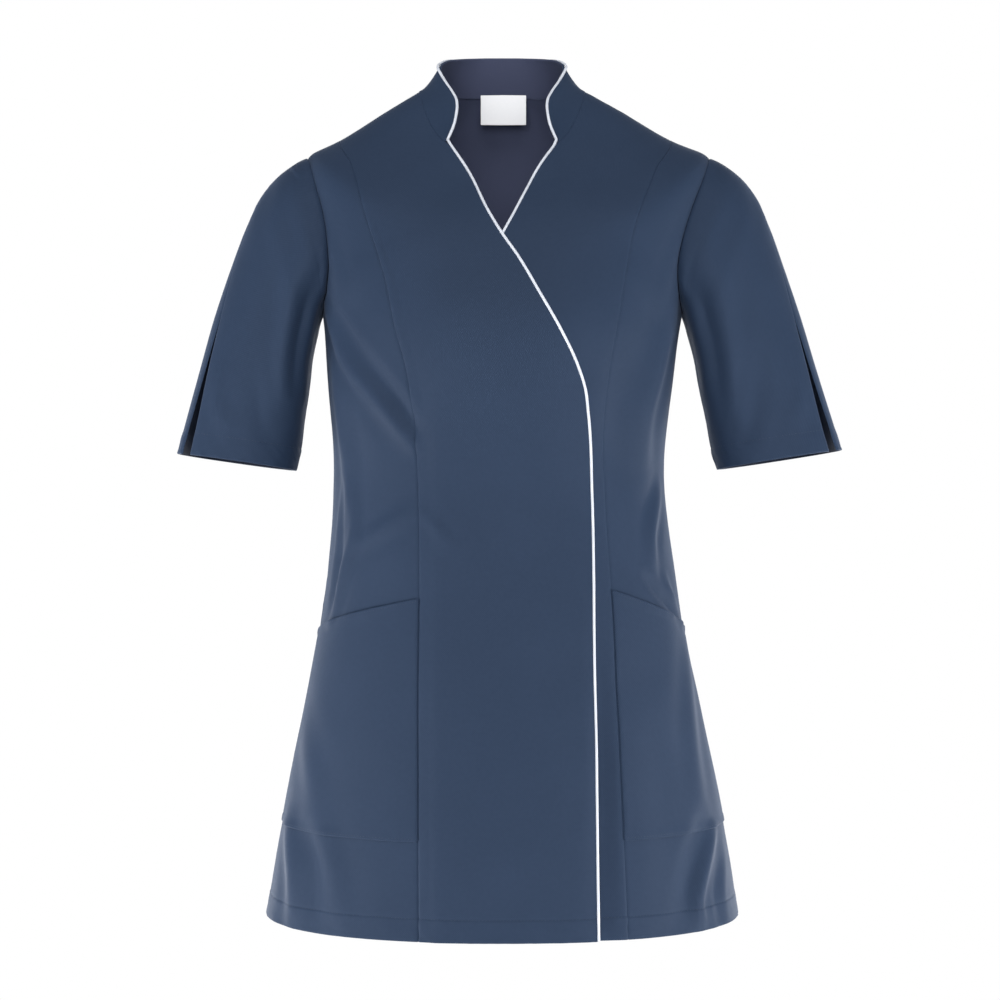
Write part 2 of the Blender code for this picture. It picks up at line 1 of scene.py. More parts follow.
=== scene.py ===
import bpy
import math
import numpy as np
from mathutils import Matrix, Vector


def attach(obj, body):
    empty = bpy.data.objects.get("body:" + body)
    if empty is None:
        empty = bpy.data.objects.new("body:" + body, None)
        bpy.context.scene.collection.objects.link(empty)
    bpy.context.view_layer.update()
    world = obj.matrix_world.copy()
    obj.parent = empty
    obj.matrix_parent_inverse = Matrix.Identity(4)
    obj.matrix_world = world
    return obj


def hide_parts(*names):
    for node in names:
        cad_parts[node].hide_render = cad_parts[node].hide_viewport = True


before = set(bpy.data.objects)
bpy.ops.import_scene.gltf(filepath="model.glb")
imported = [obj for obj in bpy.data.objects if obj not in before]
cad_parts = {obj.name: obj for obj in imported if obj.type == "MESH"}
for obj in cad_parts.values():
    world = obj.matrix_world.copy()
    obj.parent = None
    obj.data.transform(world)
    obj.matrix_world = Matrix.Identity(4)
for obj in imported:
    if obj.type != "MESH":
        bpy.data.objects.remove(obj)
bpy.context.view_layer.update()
bpy.ops.object.select_all(action="DESELECT")
print("frame loaded:", len(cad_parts), "nodes")

# Everything below is worked out in millimetres and turned to metres when a mesh is made.
# X runs to the wearer's left, Y to the back, Z up. On the torso an angle of 0 is the centre front, 90 the
# left side seam and 180 the centre back, and a level counts the rings of the torso's table from hem to neck.
mm = 0.001


# Curves and directions

def smoothStep(t):
    t = np.clip(t, 0, 1)
    return t * t * (3 - 2 * t)


def unit(v):
    return v / np.maximum(np.linalg.norm(v, axis=-1, keepdims=True), 1e-12)


def curveThrough(knots, values, at):  # smooth through the knots, straight on past the ends
    knots, values, at = (np.asarray(a, float) for a in (knots, values, at))
    if knots[0] > knots[-1]:
        knots, values = knots[::-1], values[::-1]
    step = np.diff(knots)
    rise = np.diff(values) / step
    slope = np.empty(len(knots))
    slope[1:-1] = (rise[:-1] * step[1:] + rise[1:] * step[:-1]) / (step[:-1] + step[1:])
    slope[0], slope[-1] = rise[0], rise[-1]
    inside = np.clip(at, knots[0], knots[-1])
    i = np.clip(np.searchsorted(knots, inside) - 1, 0, len(step) - 1)
    t = (inside - knots[i]) / step[i]
    curve = values[i] * (1 + 2 * t) * (1 - t) ** 2 + values[i + 1] * t * t * (3 - 2 * t)
    curve = curve + step[i] * t * (1 - t) * (slope[i] * (1 - t) - slope[i + 1] * t)
    return curve + np.where(at < knots[0], slope[0], slope[-1]) * (at - inside)


def tableValue(table, at, column=1):  # a column of a table as a smooth line over its first column
    return curveThrough([row[0] for row in table], [row[column] for row in table], at)


def lengthAlong(points, axis):  # running length of each grid line along one axis
    step = np.linalg.norm(np.diff(points, axis=axis), axis=-1)
    start = np.zeros_like(np.take(step, [0], axis=axis))
    return np.concatenate([start, np.cumsum(step, axis=axis)], axis=axis)


def pointsAt(at, run, line):  # points of a line at the given places of its running length
    return np.stack([np.interp(at, run, line[:, k]) for k in range(3)], axis=-1)


def spacedShares(length, step, edge=(0.5, 1.2, 2.2, 3.6)):  # shares from 0 to 1, closer near both ends
    near = np.array((0.0, *edge)) / length
    middle = np.linspace(near[-1], 1 - near[-1], max(3, int(round(length / step)) + 1))
    return np.concatenate([near[:-1], middle, 1 - near[-2::-1]])


def wobble(a, b, size, seed):  # slow unevenness from -1 to 1, with bumps about `size` millimetres across
    total, phase = 0.0, np.random.default_rng(seed).uniform(0, 2 * math.pi, 12)
    for k in range(6):
        turn = k * 2.4 + seed
        pace = 2 * math.pi / (size * (0.75 + 0.22 * k))
        along = a * math.cos(turn) + b * math.sin(turn)
        across = b * math.cos(turn) - a * math.sin(turn)
        total = total + np.sin(along * pace + phase[k] + 1.3 * np.sin(across * pace * 0.6 + phase[k + 6]))
    return total / 3.2


# The torso's form

torsoForm = {
    "roundness": 2.3,  # of every ring, 2 is an ellipse
    "softening": 0.32,  # levels over which the form is evened out
    "backRise": 2.0,
    "rings": [  # level, half width, lean, side y and z, front y and z, back y and z, rise
        (0, 203, 0.5, 0, -701, -138, -701, 128, -701, 2),  # hem
        (1, 190, 0.5, 0, -625, -134, -625, 124, -625, 2),  # pocket foot
        (2, 172.5, 0, 0, -540, -128, -540, 118, -540, 2),  # hip
        (3, 157, -0.5, 0, -465, -121, -465, 108, -465, 2),  # pocket mouth
        (4, 147, -1, 0, -395, -114, -395, 96, -395, 2),  # high hip
        (5, 141, -3, 0, -320, -110, -320, 88, -320, 2),  # waist
        (6, 147.5, -1, 1, -250, -121, -250, 91, -250, 2),  # ribs
        (7, 154, 0, 2, -190, -124, -197, 97, -185, 2),  # underarm
        (8, 165, 2, 5, -120, -112, -155, 101, -128, 2),  # chest
        (9, 173, 6, 8, -53.5, -98, -122, 92, -76, 2),  # shoulder point
        (9.12, 169, 5.6, 8, -51.8, -96.3, -118.7, 90.7, -70.8, 2),
        (10, 140, 3, 8, -39.5, -82, -98, 80, -38, 2.1),  # outer shoulder
        (11, 103, 1.5, 7, -16.5, -69, -80, 69, -13, 2.8),  # inner shoulder
        (12, 71, 0, 5, 2, -60, -54, 58, 4, 4.5),  # neck
    ],
    "underarm": 7.0,
    "shoulderPoint": 9.0,
    "neck": 12.0,
    "princessTurn": 9.62,  # the princess seams turn over the shoulder from here
    "princessTop": 10.04,  # and run out into the shoulder seams here
    "armholeFront": 28.0,  # degrees by which the armhole cuts in from the side
    "armholeBack": 25.0,
    "armholeSquareness": 0.85,
    "girthOfDegree": 2.45,
}

# Seams and edges as seen from the front: height, then distance from the centre
wrapEdge = [
    (-46, -47), (-76, -28), (-111, -12), (-129, -1.5), (-148, 11.5), (-180, 30), (-209, 46.5), (-236, 59.5),
    (-254, 65.5), (-275, 68), (-340, 71.5), (-455, 73), (-560, 75), (-701, 76.5),
]
underEdge = [
    (-46, 48), (-72, 30.5), (-92, 20), (-111, 10.5), (-129, 1), (-165, -18), (-203, -33), (-260, -45),
    (-347, -48), (-701, -48),
]
princessRight = [
    (-46, -133.5), (-79, -122), (-114, -112), (-159, -97), (-208, -86.5), (-241, -78), (-282, -72),
    (-347, -68.5), (-510, -68.5), (-701, -67.5),
]
princessLeft = [
    (-42, 141), (-79, 125), (-114, 111), (-150, 102.5), (-189, 96), (-251, 87), (-300, 83.5), (-350, 85),
    (-419, 89.5), (-553, 96), (-701, 102.5),
]


def ringValue(column, level):
    return tableValue(torsoForm["rings"], level, column)


def squared(share):  # the rings and the cuffs are a little squarer than an ellipse
    return np.sign(share) * np.abs(share) ** (2 / torsoForm["roundness"])


def ringPoint(angle, level):
    turn = np.radians(angle)
    across, along = np.sin(turn), np.cos(turn)
    front = along > 0
    sideY, sideZ = ringValue(3, level), ringValue(4, level)
    middleY = np.where(front, ringValue(5, level), ringValue(7, level))
    middleZ = np.where(front, ringValue(6, level), ringValue(8, level))
    rise = np.where(front, ringValue(9, level), torsoForm["backRise"])
    x = ringValue(1, level) * squared(across) + ringValue(2, level)
    y = sideY + (middleY - sideY) * squared(np.abs(along))
    z = middleZ + (sideZ - middleZ) * np.abs(across) ** rise
    return np.stack([x, y, z], axis=-1)


def bareTorso(angle, level):
    angle, level = np.broadcast_arrays(np.asarray(angle, float), np.asarray(level, float))
    spread = torsoForm["softening"]
    total = 0.0
    for offset, weight in ((-1, 0.12), (-0.5, 0.23), (0, 0.3), (0.5, 0.23), (1, 0.12)):
        total = total + weight * ringPoint(angle, level + offset * spread)
    return total


def facingOf(form, angle, level, turn, rise):
    roundIt = form(angle + turn, level) - form(angle - turn, level)
    upIt = form(angle, level + rise) - form(angle, level - rise)
    return unit(np.cross(roundIt, upIt))


# The folds of the torso: a path of (angle, height) points, then half width and height in
# millimetres. A ridge has a shallow dip on both sides, and a negative height makes a trough.
foldShape = {"dip": 0.3, "dipAt": 1.9, "dipSpread": 0.7, "atEnds": 0.3}  # as shares of the fold's own size
torsoFolds = [
    # wearer's right side, at the left of the photo
    ([(-72, -186), (-60, -226), (-43, -261), (-28, -298)], 8, 4.4),  # drag from the underarm to the waist
    ([(-60, -196), (-47, -226), (-34, -260), (-26, -288)], 7, -3.4),
    ([(-38, -266), (-31, -286), (-26, -302)], 5, 2.2),
    ([(-68, -240), (-64, -292), (-61, -330), (-64, -372)], 13, 4.0),
    ([(-57, -338), (-55, -372), (-60, -408), (-66, -446)], 7, 3.2),  # break over the hip
    ([(-64, -336), (-65, -380), (-69, -436)], 6, -2.6),
    ([(-26, -352), (-36, -366), (-52, -384)], 7, 1.6),
    ([(-23, -356), (-18, -368), (-13, -384)], 5, 0.9),
    ([(-74, -536), (-60, -574), (-50, -616)], 12, 1.8),
    ([(-72, -618), (-62, -655), (-57, -698)], 10, 4.6),
    ([(-57, -622), (-50, -652), (-47, -692)], 7, -2.4),
    ([(-50, -612), (-43, -650), (-38, -694)], 9, 2.0),
    # wearer's left side, at the right of the photo
    ([(64, -200), (58, -236), (53, -276), (56, -322)], 15, 6.2),
    ([(40, -214), (37, -258), (37, -296), (44, -330)], 11, -2.0),
    ([(70, -338), (59, -372), (57, -402)], 8, 3.4),
    ([(52, -410), (60, -426), (73, -442)], 5, -2.6),
    ([(66, -414), (70, -430), (76, -450)], 6, 2.4),
    ([(76, -470), (66, -530), (60, -600)], 11, 2.4),
    ([(68, -622), (58, -650), (52, -676), (52, -700)], 6, 4.2),
    ([(60, -612), (50, -648), (44, -694)], 8, -3.0),
    ([(70, -644), (63, -672), (62, -700)], 6, -2.8),
    ([(28, -430), (24, -570), (20, -700)], 7, -1.4),
    ([(36, -520), (34, -610), (33, -700)], 12, 1.4),
    # across the chest and below the shoulders
    ([(-62, -118), (-58, -150), (-56, -178)], 9, 1.2),
    ([(62, -112), (58, -146), (56, -184)], 9, 1.4),
    ([(30, -150), (44, -168), (60, -182)], 12, 0.9),
    ([(-28, -140), (-42, -160), (-58, -176)], 12, 0.9),
    # the back, as such a tunic hangs
    ([(108, -206), (122, -250), (140, -300)], 11, 3.2),
    ([(116, -200), (132, -246), (150, -290)], 10, -2.0),
    ([(-106, -212), (-122, -258), (-142, -304)], 11, 3.0),
    ([(-116, -206), (-134, -250), (-152, -296)], 10, -1.8),
    ([(150, -322), (168, -334), (-172, -328), (-156, -318)], 9, -1.6),
    ([(146, -340), (166, -352), (-170, -348), (-150, -340)], 10, 1.2),
    ([(106, -330), (118, -352), (134, -362)], 9, 2.0),
    ([(-104, -336), (-118, -356), (-136, -364)], 9, 2.0),
    ([(126, -440), (131, -560), (134, -700)], 17, 4.6),
    ([(150, -470), (154, -580), (156, -700)], 15, -3.4),
    ([(173, -500), (177, -600), (180, -700)], 20, 3.8),
    ([(-130, -450), (-128, -570), (-126, -700)], 17, 4.4),
    ([(-153, -480), (-151, -590), (-149, -700)], 15, -3.2),
    ([(108, -560), (106, -640), (104, -700)], 12, -2.4),
    ([(-108, -570), (-106, -640), (-105, -700)], 12, -2.2),
    ([(140, -110), (156, -150), (162, -196)], 14, 1.2),
    ([(-140, -112), (-156, -152), (-162, -200)], 14, 1.2),
]


def smoothPath(points, count=14):  # a short list of corners as a smooth line
    points = np.array(points, float)
    points[:, 0] = points[0, 0] + (points[:, 0] - points[0, 0] + 180) % 360 - 180
    knots = np.linspace(0, 1, len(points))
    at = np.linspace(0, 1, count)
    return np.stack([curveThrough(knots, points[:, k], at) for k in (0, 1)], axis=1)


def foldHeights(folds, angle, z, girthOfDegree):  # how far the folds push the cloth out
    total = np.zeros(np.shape(angle))
    for path, halfWidth, height in folds:
        line = smoothPath(path)
        nearest, share = np.full(total.shape, 1e9), np.zeros(total.shape)
        for k in range(len(line) - 1):
            runX, runZ = (line[k + 1, 0] - line[k, 0]) * girthOfDegree, line[k + 1, 1] - line[k, 1]
            offX = ((angle - line[k, 0] + 180) % 360 - 180) * girthOfDegree
            offZ = z - line[k, 1]
            t = np.clip((offX * runX + offZ * runZ) / (runX**2 + runZ**2), 0, 1)
            away = np.hypot(offX - t * runX, offZ - t * runZ)
            closer = away < nearest
            nearest = np.where(closer, away, nearest)
            share = np.where(closer, (k + t) / (len(line) - 1), share)
        s = nearest / halfWidth
        dip = foldShape["dip"] * np.exp(-((s - foldShape["dipAt"]) ** 2) / foldShape["dipSpread"])
        swell = foldShape["atEnds"] + (1 - foldShape["atEnds"]) * np.sin(math.pi * share) ** 0.7
        total = total + height * swell * (np.exp(-s * s) - dip)
    return total


def torsoCloth(angle, level, out=0.0):
    bare = bareTorso(angle, level)
    z, girthOfDegree = bare[..., 2], torsoForm["girthOfDegree"]
    push = foldHeights(torsoFolds, angle, z, girthOfDegree)
    push = push + 0.55 * wobble(angle * girthOfDegree, z, 95, 3)
    return bare + facingOf(bareTorso, angle, level, 0.4, 0.01) * (push + out)[..., None]


def halving(low, high, shape, isShort):  # where isShort stops being true, between low and high
    low, high = np.full(shape, low), np.full(shape, high)
    for _ in range(30):
        middle = (low + high) / 2
        short = isShort(middle)
        low, high = np.where(short, middle, low), np.where(short, high, middle)
    return (low + high) / 2


def angleOf(marks, level):  # where each level meets a line given as seen from the front
    def isShort(angle):
        point = bareTorso(angle, level)
        return point[..., 0] < tableValue(marks, point[..., 2])
    return halving(-90.0, 90.0, np.shape(level), isShort)


def levelOf(z, angle):
    return halving(0.0, torsoForm["underarm"], np.shape(z), lambda level: bareTorso(angle, level)[..., 2] < z)


def armholeShare(level):  # 0 at the underarm and the shoulder point, 1 halfway up
    start, end = torsoForm["underarm"], torsoForm["shoulderPoint"]
    rise = np.clip((level - start) / (end - start), 0, 1)
    return (2 * np.sqrt(rise * (1 - rise))) ** torsoForm["armholeSquareness"]


# Cloth panels: a grid of points with the way they face becomes a thin closed shell

clothMake = {
    "thickness": 0.8,
    "hemThickness": 1.5,
    "hemDepth": 18.0,
    "edgeDepth": 6.0,
    "rowStep": 3.1,
    "columnStep": 3.6,
    "bodyLength": 514,
    "seamDip": 0.5,  # the cloth rolls in where two pieces are sewn together
    "pointWidth": 12,  # but not where a panel narrows to a point
    "seamPucker": 0.22, "puckerSize": 11, "puckerReach": 6,
    "raise": 0.5, "raiseWidth": 5, "raiseUpTo": 560, "raiseFade": 60,
    "headEase": 0.6, "headSize": 17, "headReach": 14,
    "stitchDip": 0.3, "stitchWidth": 0.8,
    "hemRipple": 0.3, "hemRippleSize": 13, "hemStand": 0.25,
}


def bodyRows():  # finer at the hem's stitches, and closer together where the armhole and the shoulder turn
    length, step = clothMake["bodyLength"], clothMake["rowStep"]
    shares = spacedShares(length, step)
    hem = np.array([16.6, 17.4, 18.0, 18.6, 19.4]) / length
    shares = np.unique(np.concatenate([shares[(shares < 16 / length) | (shares > 20 / length)], hem]))
    probe = np.linspace(0, torsoForm["underarm"], 200)
    height = lengthAlong(bareTorso(np.full(200, 60.0), probe), 0)
    body = np.interp(shares * height[-1], height, probe)[:-1]
    turn = np.linspace(0, math.pi, 66, endpoint=False)
    armhole = torsoForm["underarm"] + (1 - np.cos(turn))
    shoulder = torsoForm["shoulderPoint"] + (torsoForm["princessTop"] - 9) * np.linspace(0, 1, 24) ** 1.2
    inner = torsoForm["princessTop"] + (torsoForm["neck"] - torsoForm["princessTop"]) * spacedShares(74, step)
    return np.concatenate([body, armhole, shoulder[:-1], inner])


def shapeBorders(points, facing, borders, seed):
    # rolls the cloth in at seams, hems and stitched lines, and gathers it a little beside them
    make = clothMake
    across, up = lengthAlong(points, 1), lengthAlong(points, 0)
    distance = {"left": across, "right": across[:, -1:] - across, "bottom": up, "top": up[-1:] - up}
    out, dip = np.zeros(points.shape[:2]), np.zeros(points.shape[:2])
    thick = np.full(points.shape[:2], make["thickness"])
    for side, finish in borders.items():
        d = distance[side]
        along = up if side in ("left", "right") else across
        if finish in ("seam", "raised", "head"):
            dip = np.minimum(dip, -make["seamDip"] * np.exp(-(d**2)))
            pucker = wobble(along, 0 * along, make["puckerSize"], seed)
            out = out + make["seamPucker"] * (pucker * np.exp(-d / make["puckerReach"]) * smoothStep(d / 2))
        if finish == "raised":  # the seam allowances are pressed to this side and lift it
            lift = make["raise"] * (1 - smoothStep((along - make["raiseUpTo"]) / make["raiseFade"]))
            out = out + lift * smoothStep(d) * (1 - smoothStep((d - make["raiseWidth"]) / make["raiseWidth"]))
        if finish == "head":  # the sleeve head is eased in, so it stands a little proud
            ease = 0.55 + 0.45 * wobble(along, 0 * along, make["headSize"], seed + 9)
            ease = make["headEase"] * ease * smoothStep(d / 2.5)
            out = out + ease * (1 - smoothStep((d - 5) / make["headReach"]))
        if finish in ("hem", "edge"):
            depth = make[finish + "Depth"]
            stitch = -make["stitchDip"] * np.exp(-(((d - depth) / make["stitchWidth"]) ** 2))
            inside = 1 - smoothStep((d - depth + 1) / 2)
            ripple = make["hemRipple"] * wobble(along + 0.8 * d, 0.4 * d, make["hemRippleSize"], seed + 5)
            out = out + stitch + ripple * inside + make["hemStand"] * inside
            thick = thick + (make["hemThickness"] - make["thickness"]) * inside
    dip = dip * smoothStep((across + distance["right"]) / make["pointWidth"])
    return points + facing * (out + dip)[..., None], thick


def shellObject(name, outer, facing, thick, material, insideToneAndPaintedShade=1.0):
    rows, columns = outer.shape[:2]
    inner = outer - facing * thick[..., None]
    count = rows * columns
    loop = [(0, c) for c in range(columns)] + [(r, columns - 1) for r in range(1, rows)]
    loop += [(rows - 1, c) for c in range(columns - 2, -1, -1)] + [(r, 0) for r in range(rows - 2, 0, -1)]
    loopRow, loopColumn = np.array(loop).T
    inRow, inColumn = np.clip(loopRow, 1, rows - 2), np.clip(loopColumn, 1, columns - 2)
    front, back = outer[loopRow, loopColumn], inner[loopRow, loopColumn]
    beyond = unit(front - outer[inRow, inColumn])
    middle, half = (front + back) / 2, (front - back) / 2
    reach = np.linalg.norm(half, axis=-1, keepdims=True)
    rim = [middle + half * math.cos(t) + beyond * reach * math.sin(t) for t in np.radians((50, 90, 130))]
    points = np.concatenate([outer.reshape(-1, 3), inner.reshape(-1, 3), *rim])

    index = np.arange(count).reshape(rows, columns)
    a, b, c, d = (index[:-1, :-1], index[:-1, 1:], index[1:, 1:], index[1:, :-1])
    faces = [np.stack([a, b, c, d], -1).reshape(-1, 4), np.stack([a, d, c, b], -1).reshape(-1, 4) + count]
    edge = index[loopRow, loopColumn]
    size = len(edge)
    chain = [edge, *(2 * count + k * size + np.arange(size) for k in range(3)), edge + count]
    for first, second in zip(chain, chain[1:]):
        faces.append(np.stack([np.roll(first, -1), first, second, np.roll(second, -1)], -1))

    across, up = lengthAlong(outer, 1), lengthAlong(outer, 0)
    grain = columns // 2  # the cut's straight grain runs up this column
    flatX = (across - across[:, grain:grain + 1]).reshape(-1)
    flatY = np.broadcast_to(up[:, grain:grain + 1], across.shape).reshape(-1)
    flat = np.stack([flatX, flatY], -1)
    flat = np.concatenate([flat, flat, *[flat[edge]] * 3])
    piece = meshObject(name, points, np.concatenate(faces).tolist(), material, flat)
    tone = np.zeros(len(points), np.float32)  # 0 on the face, 1 on the pale wrong side (partly painted light), -1 where the sleeves' insides are darkened as painted shade
    tone[count:2 * count] = insideToneAndPaintedShade
    tone[-size:] = insideToneAndPaintedShade
    piece.data.attributes.new("insideToneAndPaintedShade", "FLOAT", "POINT").data.foreach_set("value", tone)
    return piece


def addObject(name, data):
    thing = bpy.data.objects.new(name, data)
    bpy.context.scene.collection.objects.link(thing)
    return thing


def meshObject(name, points, faces, material, flat=None):
    mesh = bpy.data.meshes.new(name)
    mesh.from_pydata((points * mm).tolist(), [], faces)
    if flat is not None:  # the cut piece laid flat
        corners = np.zeros(len(mesh.loops), int)
        mesh.loops.foreach_get("vertex_index", corners)
        flatMetres = (flat * mm)[corners].astype(np.float32)
        mesh.uv_layers.new(name="flatCloth").data.foreach_set("uv", flatMetres.ravel())
    mesh.materials.append(material)
    mesh.shade_smooth()
    mesh.update()
    return addObject(name, mesh)


def tubeObject(name, line, radius, material, sides=12):
    # a round cord along a line, with closed ends and its own flat coordinates
    line = np.asarray(line, float)
    ahead = unit(np.gradient(line, axis=0))
    side = np.zeros_like(line)
    side[0] = unit(np.cross(ahead[0], np.array([0.0, 0.3, 1.0])))
    for k in range(1, len(line)):
        side[k] = unit(side[k - 1] - ahead[k] * np.dot(side[k - 1], ahead[k]))
    up = np.cross(ahead, side)
    turn = np.linspace(0, 2 * math.pi, sides, endpoint=False)
    ring = side[:, None] * np.cos(turn)[None, :, None] + up[:, None] * np.sin(turn)[None, :, None]
    skin = line[:, None] + ring * radius
    caps = np.stack([line[0] - ahead[0] * radius * 0.6, line[-1] + ahead[-1] * radius * 0.6])
    points = np.concatenate([skin.reshape(-1, 3), caps])
    index = np.arange(len(line) * sides).reshape(len(line), sides)
    after = np.roll(index, -1, axis=1)
    faces = np.stack([index[:-1], after[:-1], after[1:], index[1:]], -1).reshape(-1, 4).tolist()
    first, last = len(points) - 2, len(points) - 1
    faces += [(first, after[0, k], index[0, k]) for k in range(sides)]
    faces += [(last, index[-1, k], after[-1, k]) for k in range(sides)]
    along = lengthAlong(line, 0)
    girth = np.abs(turn / math.pi - 1) * 3.1 * radius
    flat = np.stack([np.repeat(along, sides), np.tile(girth, len(line))], -1)
    flat = np.concatenate([flat, [[0, 0], [along[-1], 0]]])
    return meshObject(name, points, faces, material, flat)


def insideLine(points, side, depth):  # the cloth's line at a distance in from its bottom or top border
    away = points if side == "bottom" else points[::-1]
    reach = lengthAlong(away, 0)
    return np.array([pointsAt(depth, reach[:, k], away[:, k]) for k in range(away.shape[1])])


def stitchObject(name, lines, material):
    # lock stitches: short threads that dive into the cloth at both ends
    points, faces = [], []
    sides, pitch, length = 6, sewing["pitch"], sewing["length"]
    turn = np.linspace(0, 2 * math.pi, sides, endpoint=False)
    shape = [(-0.34, 0.62, -0.14), (0.0, 1.0, 0.0), (0.34, 0.62, -0.14)]  # along, thickness, height
    for line, facing in lines:
        run = lengthAlong(line, 0)
        for at in np.arange(pitch, run[-1] - pitch / 2, pitch):
            here, normal = pointsAt(at, run, line), unit(pointsAt(at, run, facing))
            ahead = unit(pointsAt(at + 0.5, run, line) - here)
            side = unit(np.cross(normal, ahead))
            start = len(points)
            points.append(here - ahead * length / 2 - normal * sewing["dive"])
            for along, thick, height in shape:
                centre = here + ahead * along * length + normal * height
                thick = thick * sewing["thread"] / 2
                points.extend(centre + thick * (side * math.cos(t) + normal * math.sin(t)) for t in turn)
            points.append(here + ahead * length / 2 - normal * sewing["dive"])
            first, last = start + 1, start + 1 + 2 * sides
            for k in range(sides):
                after = (k + 1) % sides
                faces.append((start, first + k, first + after))
                for low in (first, first + sides):
                    high = low + sides
                    faces.append((low + k, high + k, high + after))
                    faces.append((low + k, high + after, low + after))
                faces.append((last + k, last + sides, last + after))
    piece = meshObject(name, np.array(points), faces, material)
    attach(piece, "root")
    return piece


# Materials

def colour(code):  # an sRGB hex code as linear colour
    parts = [int(code[k:k + 2], 16) / 255 for k in (1, 3, 5)]
    return tuple(c / 12.92 if c <= 0.04045 else ((c + 0.055) / 1.055) ** 2.4 for c in parts) + (1.0,)


def addNode(tree, kind, settings=None, links=None):
    node = tree.nodes.new("ShaderNode" + kind)
    for key, value in (settings or {}).items():
        if isinstance(key, str) and hasattr(node, key):
            setattr(node, key, value)
        else:
            node.inputs[key].default_value = value
    for key, socket in (links or {}).items():
        tree.links.new(socket, node.inputs[key])
    return node


def flatCloth(tree, turn=0):  # the cut piece laid flat, turned by so many degrees
    flat = addNode(tree, "UVMap", {"uv_map": "flatCloth"}).outputs["UV"]
    if not turn:
        return flat
    settings = {"Rotation": (0, 0, math.radians(turn))}
    return addNode(tree, "Mapping", settings, {"Vector": flat}).outputs["Vector"]


def threads(tree, vector, spacing, run, distortion, detail=2.0, detailScale=1.0):
    # a wave's bands are 2 pi / (20 scale) metres apart, along the direction it runs in
    return addNode(tree, "TexWave", {
        "bands_direction": run, "Scale": math.pi / 10 / (spacing * mm),
        "Distortion": distortion, "Detail": detail, "Detail Scale": detailScale,
    }, {"Vector": vector}).outputs["Fac"]


def unevenness(tree, vector, scale, detail, roughness=0.5):
    settings = {"Scale": scale, "Detail": detail, "Roughness": roughness}
    return addNode(tree, "TexNoise", settings, {"Vector": vector}).outputs["Fac"]


def multiplyAdd(tree, value, factor, added):
    settings = {"operation": "MULTIPLY_ADD", 1: factor}
    return addNode(tree, "Math", settings, {0: value, 2: added}).outputs["Value"]


def mapped(tree, value, low, high, newLow=0.0, newHigh=1.0):
    return addNode(tree, "MapRange", {1: low, 2: high, 3: newLow, 4: newHigh}, {0: value}).outputs["Result"]


def mixed(tree, share, first, second):  # first may be another mix, second is a colour code
    settings, links = {"data_type": "RGBA", 7: colour(second)}, {0: share}
    if isinstance(first, str):
        settings[6] = colour(first)
    else:
        links[6] = first
    return addNode(tree, "Mix", settings, links).outputs[2]


def bumped(tree, height, strength, distance):
    settings = {"Strength": strength, "Distance": distance}
    return addNode(tree, "Bump", settings, {"Height": height}).outputs["Normal"]


shaderInputs = {
    "paint": "Base Color", "roughness": "Roughness", "ior": "IOR", "specular": "Specular IOR Level",
    "sheen": "Sheen Weight", "sheenRoughness": "Sheen Roughness", "sheenTint": "Sheen Tint",
}


def newMaterial(name, look):
    material = bpy.data.materials.new(name)
    material.use_nodes = True
    shader = material.node_tree.nodes["Principled BSDF"]
    for key, socket in shaderInputs.items():
        if key in look:
            value = look[key]
            shader.inputs[socket].default_value = colour(value) if isinstance(value, str) else value
    return material, material.node_tree


def feed(tree, sockets):
    shader = tree.nodes["Principled BSDF"]
    for key, socket in sockets.items():
        tree.links.new(socket, shader.inputs[key])


# Navy stretch twill: a cotton and polyester uniform cloth, woven with fine diagonal ribs and finished smooth.
# The eye sees an even dark blue with a soft bloom where it turns away. Real ribs are 0.6 mm apart; they are
# drawn 1.2 mm apart, because a millimetre is about one pixel of the picture.
twillLook = {
    "base": "#22334b",
    "deep": "#1d2d44",
    "worn": "#33445f",
    "wrongSideAndPaintedLight": "#4b506a",  # the back of the twill shows more of its paler weft, and this colour is lightened further as painted light on the inside of the neck
    # painted shade: the sleeves' insides are darkened in colour for the shade that falls inside them
    "sleeveInsidePaintedShade": "#141b2c",
    "roughness": 0.74,
    "ior": 1.5,
    "specular": 0.25,  # a weave traps most of the light that a smooth face would throw back
    "sheen": 0.2,
    "sheenRoughness": 0.45,
    "sheenTint": "#8c9bb8",
    "ribSpacing": 1.2,
    "threadSpacing": 0.9,
}


def makeTwill(look):
    material, tree = newMaterial("navyStretchTwill", look)
    flat = flatCloth(tree)
    rib = threads(tree, flatCloth(tree, 45), look["ribSpacing"], "X", 0.4, 2.0, 1.4)
    weave = multiplyAdd(tree, threads(tree, flat, look["threadSpacing"], "Y", 0.5, 1.0), 0.15, rib)
    slubbed = multiplyAdd(tree, unevenness(tree, flat, 260.0, 3.0, 0.6), 0.9, weave)
    dye = mixed(tree, mapped(tree, slubbed, 0.3, 1.7), look["deep"], look["base"])
    cloud = unevenness(tree, addNode(tree, "TexCoord").outputs["Object"], 13.0, 4.0, 0.55)
    faded = mixed(tree, mapped(tree, cloud, 0.42, 0.72, 0.0, 0.10), dye, look["worn"])
    tone = addNode(tree, "Attribute", {"attribute_name": "insideToneAndPaintedShade"}).outputs["Fac"]
    # the paler wrong side, lightened further as painted light
    wrongSideAndPaintedLight = mixed(tree, mapped(tree, tone, 0.0, 1.0, 0.0, 0.8), faded, look["wrongSideAndPaintedLight"])
    # the sleeves' insides are mixed darker as painted shade
    sidesWithPaintedShade = mixed(tree, mapped(tree, tone, 0.0, -1.0, 0.0, 0.9), wrongSideAndPaintedLight, look["sleeveInsidePaintedShade"])
    gloss = mapped(tree, slubbed, 0.3, 1.9, look["roughness"] + 0.07, look["roughness"] - 0.06)
    feed(tree, {"Base Color": sidesWithPaintedShade, "Roughness": gloss, "Normal": bumped(tree, slubbed, 0.2, 0.00015)})
    return material


